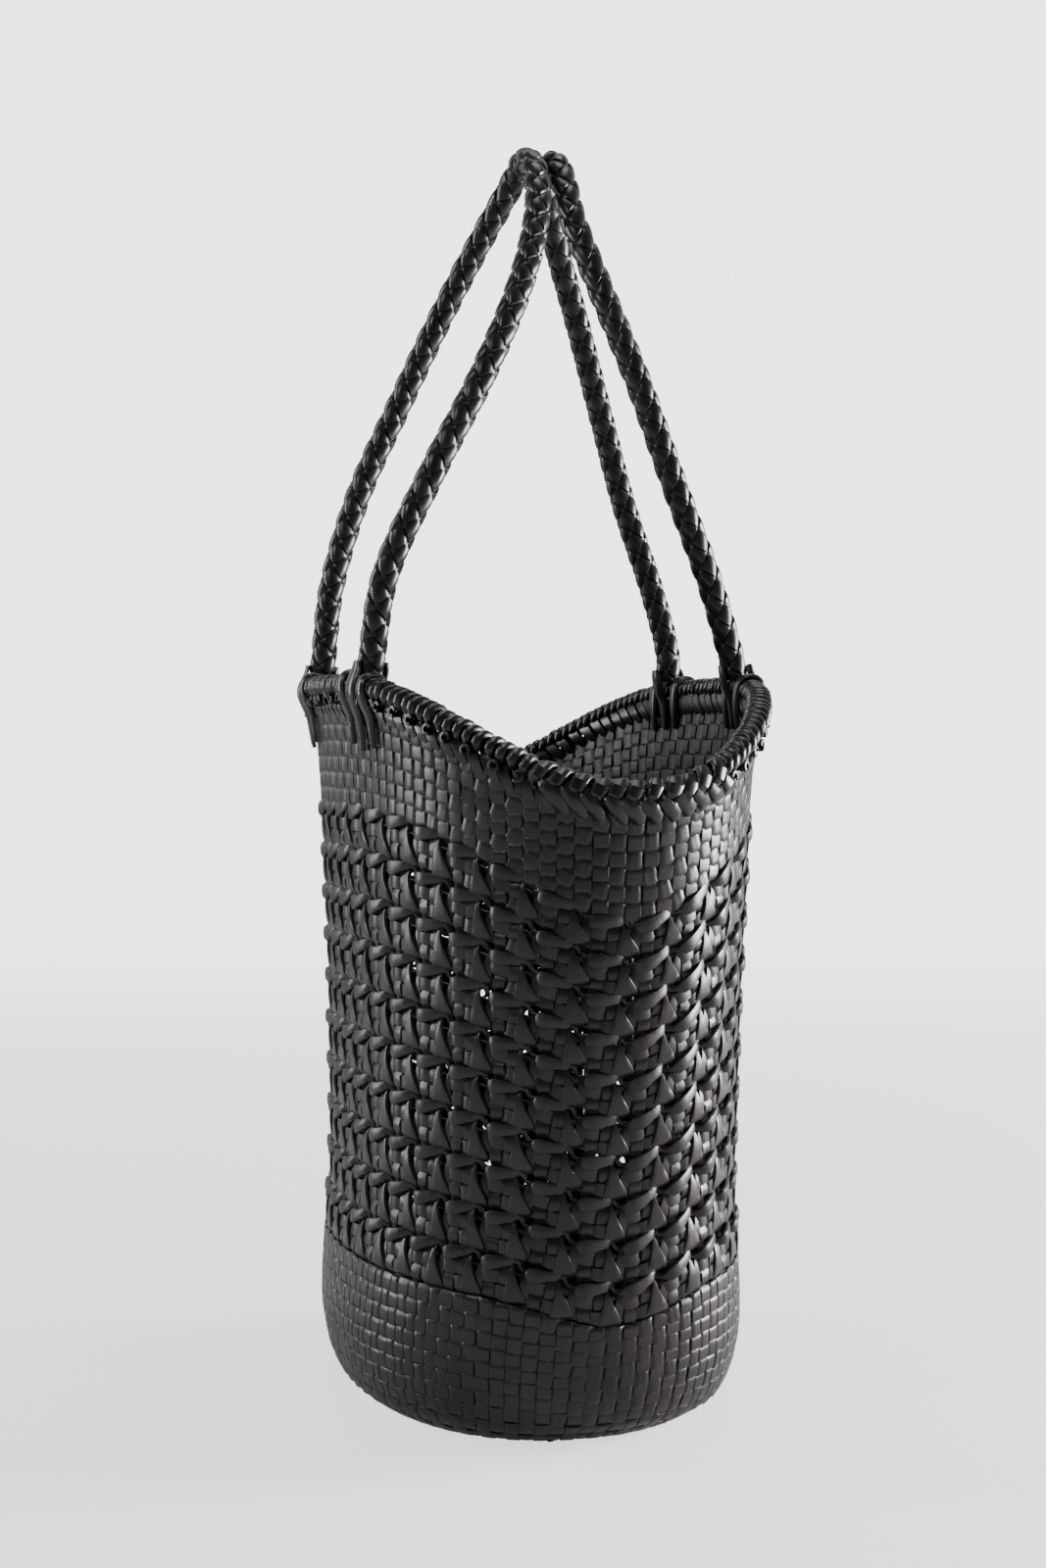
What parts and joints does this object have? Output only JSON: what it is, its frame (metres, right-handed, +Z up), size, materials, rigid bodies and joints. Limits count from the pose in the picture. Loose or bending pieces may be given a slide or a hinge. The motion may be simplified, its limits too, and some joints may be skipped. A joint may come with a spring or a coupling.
{
  "type": "basket bag",
  "caption": "Tall open basket bag plaited from flat black leather strips, with a saddle-shaped rim, an openwork star band and round plaited carry handles.",
  "frame": {"origin": "on the ground under the middle of the bag, at the base's flat underside", "axes": "+Z up, +X along the bag's long way to a narrow end, -Y to the front"},
  "size_m": [0.283, 0.1836, 0.5247],
  "materials": {
    "leather_weave": "satin near-black leather strip with fine grain and bright cut edges",
    "leather_rim": "semi-gloss near-black leather strip",
    "leather_rope": "glossy near-black round plaited leather"
  },
  "bodies": {
    "root": {"woven_base": "leather_weave", "lower_wall": "leather_weave", "openwork_wall": "leather_weave", "upper_wall": "leather_weave", "rim_braid": "leather_rim", "handle_front": "leather_rope", "handle_back": "leather_rope", "strap_front_far_outer": "leather_rim", "strap_front_far_inner": "leather_rim", "strap_front_near_outer": "leather_rim", "strap_front_near_inner": "leather_rim", "strap_back_far_outer": "leather_rim", "strap_back_far_inner": "leather_rim", "strap_back_near_outer": "leather_rim", "strap_back_near_inner": "leather_rim"}
  },
  "joints": []
}
